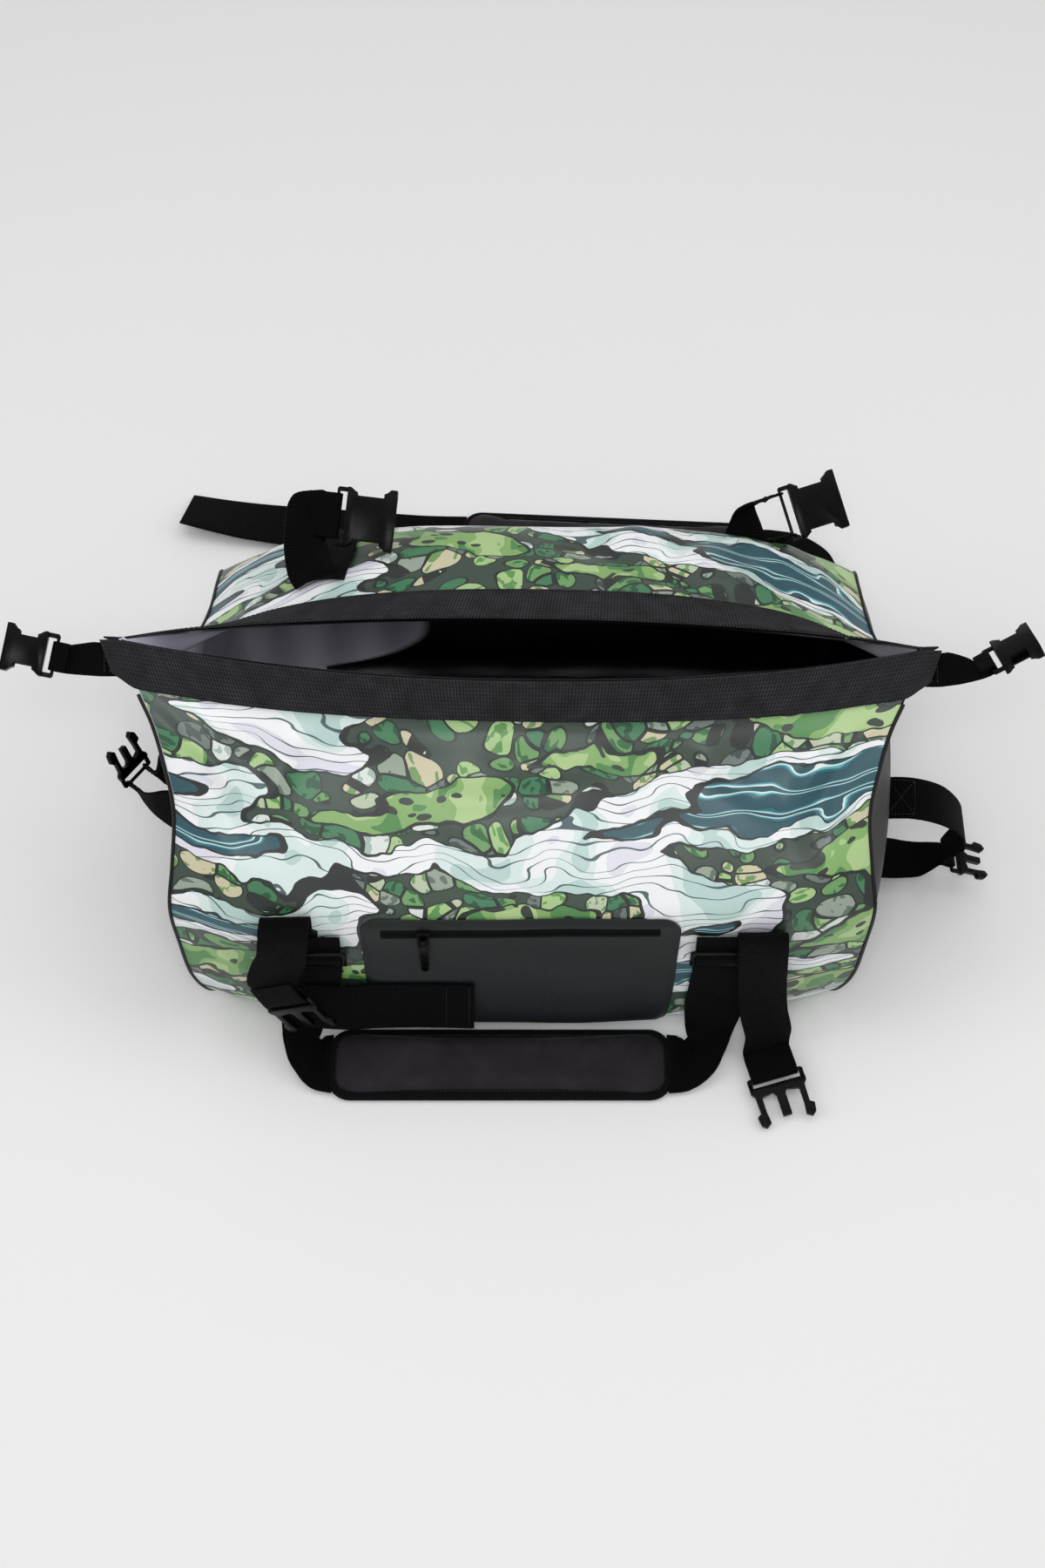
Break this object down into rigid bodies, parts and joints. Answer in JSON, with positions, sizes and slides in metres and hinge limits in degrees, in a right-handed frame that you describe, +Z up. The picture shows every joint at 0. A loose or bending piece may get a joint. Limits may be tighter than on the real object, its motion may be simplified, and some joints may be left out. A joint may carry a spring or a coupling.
{
  "type": "duffel dry bag",
  "caption": "Roll-top duffel dry bag, mouth open, with a zipped front pocket, end handles, compression straps and padded shoulder straps.",
  "frame": {"origin": "on the floor under the middle of the flat base", "axes": "+X to the bag's right along its length, +Y to its back, +Z up; the pocket faces -Y"},
  "size_m": [0.7726, 0.6317, 0.3093],
  "materials": {
    "printed_cloth": "coated cloth with a soft sheen, printed in greens, teals and pale streaks",
    "black_cloth": "black coated cloth with a soft sheen",
    "webbing": "black woven webbing, matte",
    "moulded_plastic": "black moulded plastic, satin",
    "pad_cloth": "black mesh cloth over foam"
  },
  "bodies": {
    "bag": {"front_panel": "printed_cloth", "back_panel": "printed_cloth", "end_panel_left": "black_cloth", "end_panel_right": "black_cloth", "base_panel": "black_cloth", "front_pocket": "black_cloth", "pocket_zip": "black_cloth", "rim_band_front": "webbing", "rim_band_back": "webbing", "rim_tab_left": "webbing", "rim_tab_right": "webbing", "end_handle_left": "webbing", "end_handle_right": "webbing", "strap_front_left": "webbing", "strap_front_right": "webbing", "strap_back_left": "webbing", "strap_back_right": "webbing", "front_strap_left": "webbing", "front_strap_right": "webbing", "front_strap_tail": "webbing", "back_strap_left": "webbing", "back_strap_right": "webbing", "rim_buckle_left": "moulded_plastic", "rim_buckle_right": "moulded_plastic", "end_buckle_left": "moulded_plastic", "end_buckle_right": "moulded_plastic", "buckle_front_left": "moulded_plastic", "buckle_front_right": "moulded_plastic", "buckle_back_left": "moulded_plastic", "buckle_back_right": "moulded_plastic", "front_slide_left": "moulded_plastic", "front_slide_right": "moulded_plastic", "zip_slider": "moulded_plastic", "front_pad": "pad_cloth", "back_pad": "pad_cloth"},
    "zip_pull": {"zip_pull": "moulded_plastic"}
  },
  "joints": [
    {"name": "zip_pull_swing", "type": "hinge", "parent": "bag", "child": "zip_pull", "pos_m": [-0.07507, -0.18134, 0.14696], "axis": [-1, 0, 0], "range_deg": [0, 150]}
  ]
}
